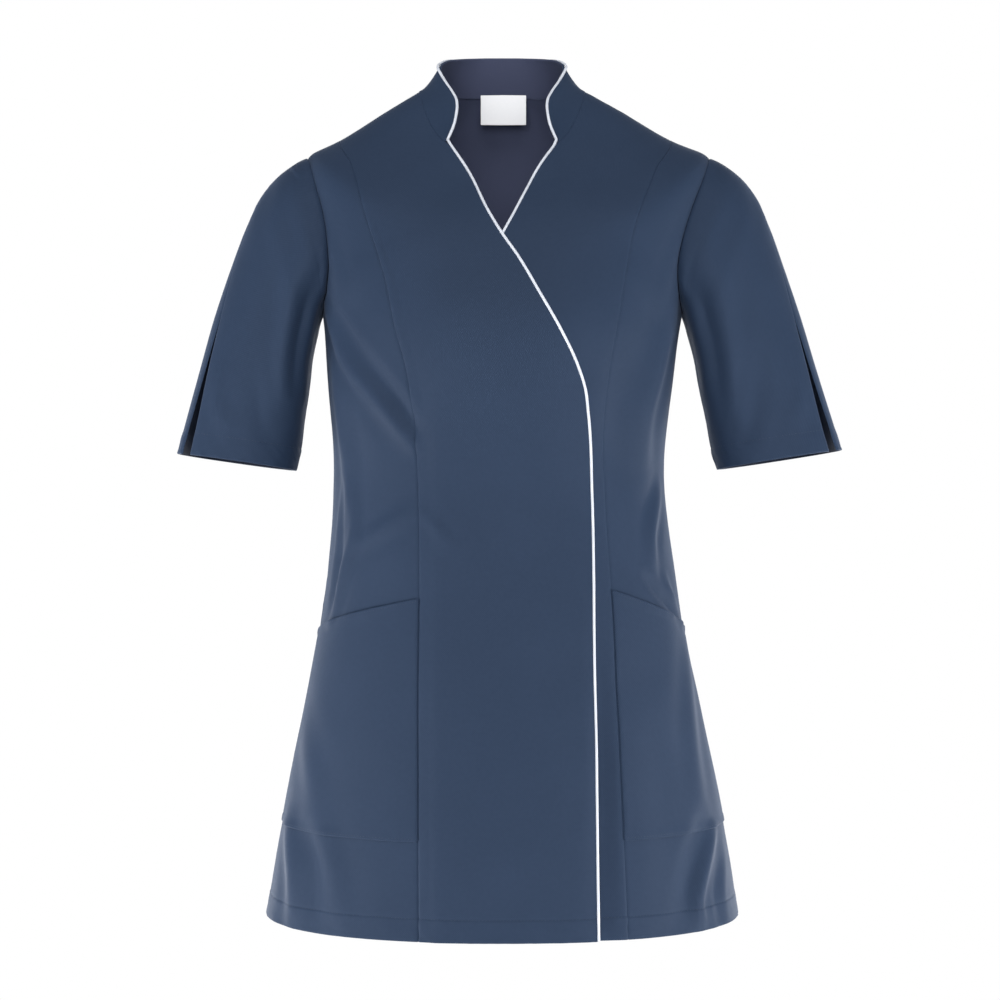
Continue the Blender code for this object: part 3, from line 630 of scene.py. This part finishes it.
# White satin bias binding: polyester satin drawn over a cord, so its threads cross the piping at 45 degrees.
# Real threads are 0.2 mm apart; they are drawn 1.1 mm apart.
pipingLook = {
    "base": "#dde1ea", "shade": "#c6ccd9", "roughness": 0.42, "ior": 1.5, "spacing": 1.1,
    "sheen": 0.15, "sheenRoughness": 0.4,
}


def makePipingSatin(look):
    material, tree = newMaterial("whiteSatinPiping", look)
    thread = threads(tree, flatCloth(tree, 45), look["spacing"], "X", 0.8)
    tone = multiplyAdd(tree, thread, 0.5, unevenness(tree, flatCloth(tree), 90.0, 3.0))
    dye = mixed(tree, mapped(tree, tone, 0.3, 1.1), look["shade"], look["base"])
    feed(tree, {"Base Color": dye, "Normal": bumped(tree, tone, 0.3, 0.0001)})
    return material


# Woven label tape: fine white polyester satin, smooth and slightly glossy, with ribs across it 0.9 mm apart.
labelLook = {"base": "#fbfbfd", "shade": "#f1f3f7", "roughness": 0.38, "ior": 1.5, "spacing": 0.9}


def makeLabelTape(look):
    material, tree = newMaterial("wovenLabelTape", look)
    flat = flatCloth(tree)
    rib = threads(tree, flat, look["spacing"], "Y", 0.4)
    tone = multiplyAdd(tree, unevenness(tree, flat, 400.0, 2.0), 0.6, rib)
    dye = mixed(tree, mapped(tree, tone, 0.2, 1.4), look["shade"], look["base"])
    feed(tree, {"Base Color": dye, "Normal": bumped(tree, tone, 0.12, 0.0001)})
    return material


# Core-spun polyester sewing thread in the cloth's own navy: two plies twisted together, a little glossier
# than the cloth, so that each stitch catches a point of light.
threadLook = {"base": "#27354c", "dark": "#1a2437", "roughness": 0.55, "ior": 1.5, "twist": 0.6}


def makeThread(look):
    material, tree = newMaterial("navyPolyesterThread", look)
    twist = threads(tree, addNode(tree, "TexCoord").outputs["Object"], look["twist"], "DIAGONAL", 1.0)
    dye = mixed(tree, twist, look["dark"], look["base"])
    feed(tree, {"Base Color": dye, "Normal": bumped(tree, twist, 0.3, 0.00008)})
    return material


navyTwill = makeTwill(twillLook)
pipingSatin = makePipingSatin(pipingLook)
labelTape = makeLabelTape(labelLook)
navyThread = makeThread(threadLook)
print("materials ready")


# Body panels, cut as such a tunic is: a back, two fronts that cross, and a side front under each arm

lap = {
    "lift": 2.4, "margin": 3.0, "from": -62.0, "full": -125.0,  # how the right front clears the left one
    "sink": 3.4, "sinkFrom": -440.0, "sinkFull": -560.0,  # and the left one falls back behind the wrap's edge
}
panelWidths = {"back": 470, "over": 215, "under": 200, "side": 112}  # millimetres across, for the columns


def columnShares(width):
    return spacedShares(width, clothMake["columnStep"])


def between(first, last, shares):
    return first[:, None] + (last - first)[:, None] * shares


def lapLift(angle, level):  # grows from the right princess seam to the edge of the layer below
    point = bareTorso(angle, level)
    start, clear = (tableValue(marks, point[..., 2]) for marks in (princessRight, underEdge))
    grown = smoothStep((point[..., 0] - start) / (clear - lap["margin"] - start))
    return lap["lift"] * grown * smoothStep((lap["from"] - point[..., 2]) / (lap["from"] - lap["full"]))


def lapSink(angle, level):  # greatest at the wrap's edge, and none at the left princess seam
    point = bareTorso(angle, level)
    edge, seam = (tableValue(marks, point[..., 2]) for marks in (wrapEdge, princessLeft))
    near = 1 - smoothStep((point[..., 0] - edge) / (seam - edge))
    low = smoothStep((lap["sinkFrom"] - point[..., 2]) / (lap["sinkFrom"] - lap["sinkFull"]))
    return -lap["sink"] * near * low


def princessAngles(rows, seam, side):  # the seam turns over the shoulder and runs out into the shoulder seam
    angle = angleOf(seam, rows)
    start, top = torsoForm["princessTurn"], torsoForm["princessTop"]
    turned = np.clip((rows - start) / (top - start), 0, 1)
    return angle + (side * 90.0 - angle) * turned**1.6


def gridFacing(points):
    return unit(np.cross(np.gradient(points, axis=1), np.gradient(points, axis=0)))


def dressPanel(name, points, borders, node, seed, insideToneAndPaintedShade=1.0):
    facing = gridFacing(points)
    outer, thick = shapeBorders(points, facing, borders, seed)
    piece = shellObject(name, outer, facing, thick, navyTwill, insideToneAndPaintedShade)
    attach(piece, "root")
    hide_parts(node)
    return piece, outer, facing


rows = bodyRows()
navyPieces = {}
sewn = {"left": "seam", "right": "seam", "bottom": "hem", "top": "seam"}
wrapAngles, underAngles = angleOf(wrapEdge, rows), angleOf(underEdge, rows)
seamRight, seamLeft = princessAngles(rows, princessRight, -1), princessAngles(rows, princessLeft, +1)

angles = between(seamRight, wrapAngles, columnShares(panelWidths["over"]))
grid = torsoCloth(angles, rows[:, None], lapLift(angles, rows[:, None]))
navyPieces["over"] = dressPanel(
    "frontOverCloth", grid, sewn | {"left": "raised", "right": "piped"}, "front_over", 11)

angles = between(underAngles, seamLeft, columnShares(panelWidths["under"]))
grid = torsoCloth(angles, rows[:, None], lapSink(angles, rows[:, None]))
navyPieces["under"] = dressPanel(
    "frontUnderCloth", grid, sewn | {"left": "piped"}, "front_under", 12)

sideRows = rows[rows < torsoForm["princessTop"] + 0.001]
sides = ((-1, princessRight, "right"), (+1, princessLeft, "left"))
for side, seam, name in sides:
    outer = side * (90 - torsoForm["armholeFront"] * armholeShare(sideRows))
    inner = side * np.minimum(side * princessAngles(sideRows, seam, side), 89.6)  # nearly a point at the top
    angles = between(inner, outer, columnShares(panelWidths["side"]))[:, ::side]
    grid = torsoCloth(angles, sideRows[:, None])
    navyPieces["side" + str(side)] = dressPanel(
        "side" + name.capitalize() + "Cloth", grid, sewn | {"top": "point"}, "front_side_" + name, 13 + side)

share = 2 * columnShares(panelWidths["back"]) - 1
edgeCut = torsoForm["armholeBack"] * armholeShare(rows)[:, None] * np.sign(share) * np.abs(share) ** 2.2
grid = torsoCloth(180 + 90 * share - edgeCut, rows[:, None])
navyPieces["back"] = dressPanel("backCloth", grid, sewn, "back", 15)
print("body panels cut:", sum(len(p[0].data.polygons) for p in navyPieces.values()), "faces")


# Patch pockets on the side fronts, caught in both seams, with a turned and stitched mouth

pockets = {
    "top": {"right": -426, "left": -419.5}, "topOuter": -461, "foot": -621,  # heights of mouth and foot
    "standOff": 1.15, "ease": 1.6,  # how far it lies off the panel, and how much more at its mouth's middle
    "seamHold": 0.35, "seamHoldFrom": 0.85,  # the side seam holds it down
    "insets": (0.004, 0.002), "width": 100, "columnStep": 3.2, "depth": 175, "rowStep": 3.0,
    "flat": {"right": (0.187, 0.18), "left": (0.157, 0.183)}, "area": {"right": 0.030, "left": 0.026},
}
for side, seam, name in sides:
    inset, top = pockets["insets"], pockets["top"][name]
    across = inset[0] + (1 - inset[0] - inset[1]) * spacedShares(pockets["width"], pockets["columnStep"])
    up = spacedShares(pockets["depth"], pockets["rowStep"])
    heights = pockets["foot"] + (top + (pockets["topOuter"] - top) * across - pockets["foot"]) * up[:, None]
    inner = angleOf(seam, levelOf(heights, np.full(heights.shape, side * 30.0)))
    angles = inner + (side * 90 - inner) * across
    levels = levelOf(heights, angles)
    stand = pockets["standOff"] + pockets["ease"] * up[:, None] ** 3 * np.sin(math.pi * across)
    held = smoothStep((across - pockets["seamHoldFrom"]) / (1 - pockets["seamHoldFrom"]))
    stand = stand - pockets["seamHold"] * held
    grid = torsoCloth(angles[:, ::side], levels[:, ::side], stand[:, ::side])
    borders = sewn | {"bottom": "edge", "top": "edge"}
    navyPieces["pocket" + str(side)] = dressPanel(
        "pocket" + name.capitalize() + "Cloth", grid, borders, "pocket_" + name, 20 + side)


# Sleeves, each a front and a back half. The outer seam turns to the front on its way down and ends in a slit.

sleeves = {
    "right": {"side": -1, "cuff": (226.5, -12, -315), "halfWidth": 51.0, "halfDepth": 47.0, "tilt": 8.0,
              "angle": 14.5, "capReach": 55.0},
    "left": {"side": 1, "cuff": (237.0, -12, -313), "halfWidth": 53.5, "halfDepth": 47.0, "tilt": 8.8,
             "angle": 17.5, "capReach": 62.0},
    "twist": 38.0, "forward": 3.0, "capSlope": 21.0, "underarmReach": 16.0, "underarmFlare": 0.75,
    "cuffReachOuter": 0.74, "cuffReachInner": 0.36, "slitFrom": 0.75, "slitFront": 9.0, "slitBack": 6.5,
    "length": 300, "girth": 190, "rowStep": 3.3, "girthOfDegree": 0.95,
    "flat": (0.215, 0.30), "area": {"Front": 0.030, "Back": 0.041},
}
# (turn round the arm, minus the distance down a sleeve of 300) points, half width and height
sleeveFolds = {
    "right": [
        ([(100, -50), (92, -120), (92, -176), (104, -236)], 12, 2.6),  # ridge down the inner front
        ([(120, -40), (116, -100), (118, -150), (128, -200)], 13, -3.6),
        ([(22, -262), (32, -276), (50, -281), (62, -279)], 6, 1.2),
        ([(66, -240), (86, -270), (112, -276)], 9, -1.2),
        ([(14, -28), (26, -28), (38, -20)], 4, 1.0),
        ([(30, -60), (48, -96), (60, -140)], 14, 0.9),
        ([(250, -60), (262, -130), (268, -220)], 14, 1.8),
        ([(290, -40), (300, -110), (300, -190)], 13, -1.6),
        ([(232, -180), (246, -240), (262, -280)], 11, -1.4),
    ],
    "left": [
        ([(98, -60), (90, -130), (92, -190), (104, -250)], 12, 2.2),
        ([(120, -44), (114, -104), (116, -160), (126, -220)], 14, -3.8),
        ([(23, -268), (31, -277), (46, -281)], 6, 1.0),
        ([(60, -230), (80, -264), (104, -280)], 9, -1.2),
        ([(34, -70), (50, -110), (62, -160)], 14, 0.9),
        ([(252, -56), (264, -126), (270, -214)], 14, 1.7),
        ([(292, -44), (302, -114), (300, -196)], 13, -1.5),
        ([(234, -176), (248, -236), (264, -276)], 11, -1.3),
    ],
}


def armholePoint(turn, side):
    turn = np.radians(turn)
    start, end = torsoForm["underarm"], torsoForm["shoulderPoint"]
    level = start + (end - start) * (1 + np.cos(turn)) / 2
    cut = np.where(np.sin(turn) > 0, torsoForm["armholeFront"], -torsoForm["armholeBack"])
    angle = side * (90 - cut * np.abs(np.sin(turn)) ** torsoForm["armholeSquareness"])
    return torsoCloth(angle, level)


def cuffPoint(turn, arm):
    turn = np.radians(turn)
    tilt, forward = math.radians(arm["tilt"]), math.radians(sleeves["forward"])
    outward = np.array([arm["side"] * math.cos(tilt), 0, math.sin(tilt)])
    ahead = np.array([0, -math.cos(forward), math.sin(forward)])
    wide, deep = squared(np.cos(turn)) * arm["halfWidth"], squared(np.sin(turn)) * arm["halfDepth"]
    centre = np.array(arm["cuff"]) * np.array([arm["side"], 1, 1])
    return centre + wide[..., None] * outward + deep[..., None] * ahead


def sleeveForm(turn, share, arm):
    side = arm["side"]
    probe = np.arange(0.0, 360.5, 1.0)
    hole = armholePoint(probe, side)
    middle = (hole[90] + hole[270]) / 2
    start = pointsAt(turn % 360, probe, hole)
    end = cuffPoint(turn + sleeves["twist"] * np.sin(np.radians(turn / 2 + 90)) ** 2, arm)
    low = (1 - np.cos(np.radians(turn)))[..., None] / 2
    slope, angle = math.radians(sleeves["capSlope"]), math.radians(arm["angle"])
    outOfHole = np.array([side * math.cos(slope), 0, -math.sin(slope)])
    leave = unit(outOfHole + sleeves["underarmFlare"] * low * unit(start - middle))
    forward = math.radians(sleeves["forward"])
    down = unit(np.array([side * math.sin(angle), -math.sin(forward), -math.cos(angle)]))
    reach = sleeves["underarmReach"] + (arm["capReach"] - sleeves["underarmReach"]) * (1 - low)
    length = np.linalg.norm(end - start, axis=-1, keepdims=True)
    inner, outer = sleeves["cuffReachInner"], sleeves["cuffReachOuter"]
    handleA, handleB = start + reach * leave, end - (inner + (outer - inner) * (1 - low)) * length * down
    t = share[..., None]
    return start * (1 - t) ** 3 + 3 * handleA * t * (1 - t) ** 2 + 3 * handleB * t * t * (1 - t) + end * t**3


length = sleeves["length"]
sleeveRows = np.unique(np.concatenate([  # finer at the hem's stitches and where the slit starts
    spacedShares(length, sleeves["rowStep"]), 1 - np.array([16.8, 17.6, 18.4, 19.2]) / length,
    np.linspace(0.72, 0.8, 9),
]))
for name in ("right", "left"):
    arm = sleeves[name]
    opened = np.clip((sleeveRows - sleeves["slitFrom"]) / (1 - sleeves["slitFrom"]), 0, 1)
    frontGape = np.degrees(sleeves["slitFront"] / arm["halfWidth"]) * opened
    backGape = np.degrees(sleeves["slitBack"] / arm["halfWidth"]) * opened
    innerSeam = np.full(opened.shape, 180.0)
    for half, first, last in (("Front", frontGape, innerSeam), ("Back", innerSeam, 360 - backGape)):
        turns = between(first, last, columnShares(sleeves["girth"]))
        turns, shares = np.broadcast_arrays(turns, sleeveRows[:, None])
        grid = sleeveForm(turns, shares, arm)
        facing = gridFacing(grid) * arm["side"]
        push = foldHeights(sleeveFolds[name], turns, -length * shares, sleeves["girthOfDegree"])
        push = push + 0.5 * wobble(turns * sleeves["girthOfDegree"], length * shares, 80, 31)
        grid = grid + facing * (push * smoothStep(shares / 0.05))[..., None]
        # rows run from the cuff up and columns to the right, seen from outside
        grid = grid[::-1, ::-arm["side"]]
        borders = sewn | {"top": "head"}
        # the sleeves' insides take the dark tone of painted shade
        navyPieces[name + half] = dressPanel(
            "sleeve" + name.capitalize() + half + "Cloth", grid, borders,
            "sleeve_" + half.lower() + "_" + name, 31, -1.0)
print("sleeves set in")


# Collar: a stand in double cloth, open at the front, its edge piped from one notch round to the other

collarForm = {
    "edge": [  # angle round the neck, and the place of the top edge
        (39.5, 46.5, -49, -45.5), (46, 41.5, -48, -34), (53, 39, -43, -22), (62, 39, -36, -11),
        (72, 43, -25, -1.5), (83, 49.5, -12, 9.5), (96, 53.5, 1, 22.5), (108, 49.5, 12, 28.5),
        (130, 38, 31, 33.5), (155, 20, 43, 36), (180, 0, 46, 36.5),
    ],
    "hollow": 1.0, "thickness": 1.8, "columns": 64, "crowding": 1.15,
    "flat": (0.36, 0.045), "area": 0.0106,
}


def collarLines():
    start = collarForm["edge"][0][0]
    angle = start + (180 - start) * np.linspace(0, 1, collarForm["columns"]) ** collarForm["crowding"]
    top = np.stack([tableValue(collarForm["edge"], angle, k) for k in (1, 2, 3)], axis=1)
    seam = bareTorso(angle, torsoForm["neck"])
    flip = np.array([-1, 1, 1])
    return tuple(np.concatenate([half, (half * flip)[-2::-1]]) for half in (seam, top))


def collarOutward(line, rise):
    return unit(np.cross(unit(np.gradient(line, axis=-2)), unit(rise)))


seamLine, topLine = collarLines()
share = spacedShares(40, 2.2, (0.5, 1.2, 2.2))[:, None, None]
grid = seamLine + (topLine - seamLine) * share
facing = collarOutward(grid, topLine - seamLine)
grid = grid - facing * collarForm["hollow"] * np.sin(math.pi * share)
thick = np.full(grid.shape[:2], collarForm["thickness"])
piece = shellObject("collarCloth", grid, facing, thick, navyTwill)
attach(piece, "root")
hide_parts("collar")
navyPieces["collar"] = (piece, grid, facing)


# Piping: a 2.4 mm cord in a bias strip, sewn into the wrap edges and the collar's edge

piping = {
    "diameter": 2.4, "head": 11.93, "underFoot": 7.5, "overSink": 0.25, "underSink": 0.6,
    "beside": 0.1, "outside": 0.3, "step": 2.5, "collarStep": 2.2,
    "collarDrop": 1.6, "edgeRise": 0.5,
    "edgeFrom": 0.50, "edgeTo": 0.66,  # shares of the collar's half length
}


def evenly(line, step):
    run = lengthAlong(line, 0)
    at = np.linspace(0, run[-1], int(run[-1] / step) + 1)
    return pointsAt(at, run, line)


def frontEdge(marks, level, beyond, sink, free, lift):
    angle = angleOf(marks, level)
    edge = torsoCloth(angle, level, lift(angle, level))
    facing = facingOf(torsoCloth, angle, level, 0.5, 0.02)
    across = free * unit(np.cross(unit(np.gradient(edge, axis=0)), facing))
    return edge + across * beyond - facing * sink


radius = piping["diameter"] / 2
level = np.linspace(0, piping["head"], 500)
overLine = frontEdge(wrapEdge, level, radius + piping["beside"], piping["overSink"], 1, lapLift)
level = np.linspace(piping["underFoot"], piping["head"], 200)
underLine = frontEdge(underEdge, level, radius + piping["beside"], piping["underSink"], -1,
                      lambda angle, level: 0 * angle)
# the cord sits on the collar's edge in front and moves to its outside towards the back
share = np.linspace(-1, 1, len(topLine))[:, None]
onEdge = smoothStep((np.abs(share) - piping["edgeFrom"]) / (piping["edgeTo"] - piping["edgeFrom"]))
rise = unit(topLine - seamLine)
outward = collarOutward(topLine, topLine - seamLine)
aside = (radius + piping["outside"]) * (1 - onEdge) - collarForm["thickness"] / 2 * onEdge
collarLine = topLine + outward * aside
collarLine = collarLine + rise * (piping["edgeRise"] * onEdge - piping["collarDrop"] * (1 - onEdge))
overLine = np.concatenate([overLine, collarLine[-1:] * 0.35 + overLine[-1:] * 0.65, collarLine[-1:]])
underLine = np.concatenate([underLine, collarLine[:1] * 0.35 + underLine[-1:] * 0.65, collarLine[:1]])
for name, line, step, node in (("pipingOverCord", overLine, piping["step"], "piping_over"),
                               ("pipingUnderCord", underLine, piping["step"], "piping_under"),
                               ("pipingCollarCord", collarLine, piping["collarStep"], "piping_collar")):
    piece = tubeObject(name, evenly(line, step), radius, pipingSatin)
    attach(piece, "root")
    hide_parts(node)
print("collar and piping sewn in")


# Blank neck label, hanging inside the back from the collar seam

label = {
    "width": 39.5, "centre": 1.3, "top": 7.0, "foot": -19.5, "length": 27, "step": 1.5,
    "gap": 2.6, "hang": 0.06, "bow": 0.5, "thickness": 0.5,
}
x, z = np.broadcast_arrays(
    label["centre"] + label["width"] / 2 * (1 - 2 * spacedShares(40, label["step"])),
    (label["foot"] + (label["top"] - label["foot"]) * spacedShares(label["length"], label["step"]))[:, None])
neckLine = bareTorso(np.linspace(150, 210, 121), torsoForm["neck"])
y = np.interp(x, neckLine[::-1, 0], neckLine[::-1, 1]) - label["gap"] + label["hang"] * (label["top"] - z)
y = y - label["bow"] * np.sin(math.pi * (label["top"] - z) / label["length"]) * (1 + 0.4 * np.sin(x / 9))
grid = np.stack([x, y, z], axis=-1)
facing = gridFacing(grid)
thick = np.full(grid.shape[:2], label["thickness"])
labelPiece = shellObject("blankLabel", grid, facing, thick, labelTape)
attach(labelPiece, "root")
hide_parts("label")
print("label hung")


# Hem, cuff and pocket stitches

sewing = {"pitch": 2.8, "length": 2.2, "thread": 0.36, "dive": 0.32, "pocketInset": 1.6}
stitchLines = {"hem": [], "sleeves": [], "pockets": []}


def stitchAlong(group, key, side, depth):
    _, outer, facing = navyPieces[key]
    line = insideLine(outer, side, depth)
    stitchLines[group].append((line, insideLine(outer + facing, side, depth) - line))


for key in ("over", "under", "side-1", "side1", "back"):
    stitchAlong("hem", key, "bottom", clothMake["hemDepth"])
for key in ("rightFront", "rightBack", "leftFront", "leftBack"):
    stitchAlong("sleeves", key, "bottom", clothMake["hemDepth"])
for key in ("pocket-1", "pocket1"):
    for side in ("bottom", "top"):
        stitchAlong("pockets", key, side, sewing["pocketInset"])
stitches = {group: stitchObject(group + "Stitches", lines, navyThread)
            for group, lines in stitchLines.items()}
print("stitched:", sum(len(p.data.polygons) for p in stitches.values()), "faces")


# Floor, light and camera

studio = {
    "floorHeight": -1.35, "worldLight": 0.28,
    "camera": (-0.0017, -2.0, -0.29), "lens": 83.7, "tilt": 1.67,
}
bpy.ops.mesh.primitive_plane_add(size=4.2, location=(0, 0.1, studio["floorHeight"]))
floor = bpy.context.object
floor.name = "studioFloor"
floorPaint, _ = newMaterial("paleFloorPaint", {"paint": "#ecebe8", "roughness": 0.75, "ior": 1.45})
floor.data.materials.append(floorPaint)

world = bpy.data.worlds.new("studioWorld")
bpy.context.scene.world = world
world.use_nodes = True
tree = world.node_tree
tree.nodes.clear()
path = addNode(tree, "LightPath")
room = addNode(tree, "Background", {"Color": (1, 1, 1, 1), "Strength": studio["worldLight"]})
backdrop = addNode(tree, "Background", {"Color": (1, 1, 1, 1), "Strength": 1.0})
seen = addNode(tree, "MixShader", {}, {
    0: path.outputs["Is Camera Ray"], 1: room.outputs[0], 2: backdrop.outputs[0]})
addNode(tree, "OutputWorld", {}, {"Surface": seen.outputs[0]})


lights = [  # place, aim, size and watts of each
    ("frontLight", (-0.2, -3.0, 0.3), (0, 0, -0.3), (2.2, 1.6), 46),
    ("highLight", (0.0, -1.6, 1.7), (0, 0, -0.1), (1.4, 1.0), 25),
    ("lowSideLightLeft", (-1.35, -0.42, -1.28), (0, 0, -0.35), (0.9, 0.9), 44),
    ("lowSideLightRight", (1.35, -0.42, -1.28), (0, 0, -0.35), (0.9, 0.9), 44),
    ("lowBackLightLeft", (-1.3, 1.3, -1.1), (0, 0, -0.4), (1.0, 1.0), 22),
    ("lowBackLightRight", (1.3, 1.3, -1.1), (0, 0, -0.4), (1.0, 1.0), 22),
    ("backLight", (0.2, 3.0, 0.6), (0, 0, -0.3), (2.2, 1.6), 45),
]
for name, place, aim, size, power in lights:
    light = bpy.data.lights.new(name, "AREA")
    light.shape = "RECTANGLE"
    light.size, light.size_y = size
    light.energy = power
    lamp = addObject(name, light)
    lamp.location = place
    lamp.rotation_euler = (Vector(aim) - Vector(place)).to_track_quat("-Z", "Y").to_euler()
    lamp.visible_camera = False

camera = addObject("photoCamera", bpy.data.cameras.new("photoCamera"))
camera.data.lens = studio["lens"]
camera.data.sensor_width = 36
camera.location = studio["camera"]
camera.rotation_euler = (math.radians(90 - studio["tilt"]), 0, 0)
bpy.context.scene.camera = camera
bpy.context.scene.view_settings.view_transform = "Standard"
print("studio set")
